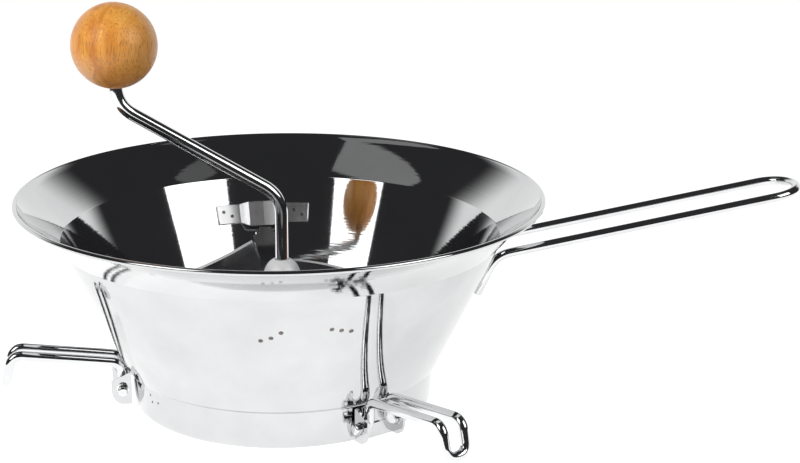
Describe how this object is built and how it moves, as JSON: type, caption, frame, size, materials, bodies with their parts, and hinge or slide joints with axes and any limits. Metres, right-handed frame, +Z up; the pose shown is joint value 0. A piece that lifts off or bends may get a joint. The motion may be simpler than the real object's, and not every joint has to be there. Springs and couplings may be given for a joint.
{
  "type": "rotary food mill",
  "caption": "Hand-cranked food mill: steel bowl with a sieve disc, an auger blade under a sprung crossbar, a loop handle, folding wire feet and a wooden crank ball",
  "frame": {"origin": "Middle of the object's box in X and Y, on the plane the bowl's collar stands on; the bowl's own axis is at X = -0.0579 m", "axes": "+X runs along the loop handle away from the bowl, +Z is up along the crank's shaft, +Y completes a right-handed frame"},
  "size_m": [0.3742, 0.24, 0.1846],
  "materials": {
    "polished_sheet": "mirror-polished stainless steel sheet",
    "polished_wire": "bright polished stainless steel wire and rod",
    "satin_steel": "satin stainless steel",
    "spring_steel": "bright drawn spring wire",
    "beech": "honey-coloured varnished beech",
    "brass": "plain brass tube"
  },
  "bodies": {
    "body": {"bowl": "polished_sheet", "sieve_disc": "satin_steel", "handle_loop": "polished_wire", "catch_front": "polished_sheet", "catch_back": "polished_sheet", "foot_bracket_left": "polished_sheet", "foot_bracket_front": "polished_sheet", "foot_bracket_rear": "polished_sheet"},
    "crank": {"crank_rod": "polished_wire", "blade_sleeve": "satin_steel", "blade_pin": "satin_steel", "auger_blade": "polished_sheet", "tail_blade": "polished_sheet", "washer_lower": "satin_steel", "knob_clip": "satin_steel"},
    "grip": {"knob": "beech", "knob_bush": "brass"},
    "bar": {"crossbar": "polished_sheet", "hub_dome": "polished_sheet", "hub_spring": "spring_steel", "washer_upper": "satin_steel"},
    "foot_left_wire": {"foot_left": "polished_wire"},
    "foot_front_wire": {"foot_front": "polished_wire"},
    "foot_rear_wire": {"foot_rear": "polished_wire"}
  },
  "joints": [
    {"name": "crank_spin", "type": "hinge", "parent": "body", "child": "crank", "pos_m": [-0.05793, 0, 0.05], "axis": [0, 0, 1], "continuous": true},
    {"name": "knob_spin", "type": "hinge", "parent": "crank", "child": "grip", "pos_m": [-0.13033, 0, 0.1656], "axis": [0, 0, 1], "continuous": true},
    {"name": "bar_press", "type": "slide", "parent": "body", "child": "bar", "axis": [0, 0, -1], "range_m": [0, 0.003], "stiffness_N_per_m": 2000, "springref_m": -0.004, "deforming": ["hub_spring"]},
    {"name": "foot_left_fold", "type": "hinge", "parent": "body", "child": "foot_left_wire", "pos_m": [-0.13213, 0, 0.0086], "axis": [0, -1, 0], "range_deg": [0, 165]},
    {"name": "foot_front_fold", "type": "hinge", "parent": "body", "child": "foot_front_wire", "pos_m": [-0.02083, -0.06426, 0.0086], "axis": [0.866, 0.5, 0], "range_deg": [0, 165]},
    {"name": "foot_rear_fold", "type": "hinge", "parent": "body", "child": "foot_rear_wire", "pos_m": [-0.02083, 0.06426, 0.0086], "axis": [-0.866, 0.5, 0], "range_deg": [0, 165]}
  ]
}
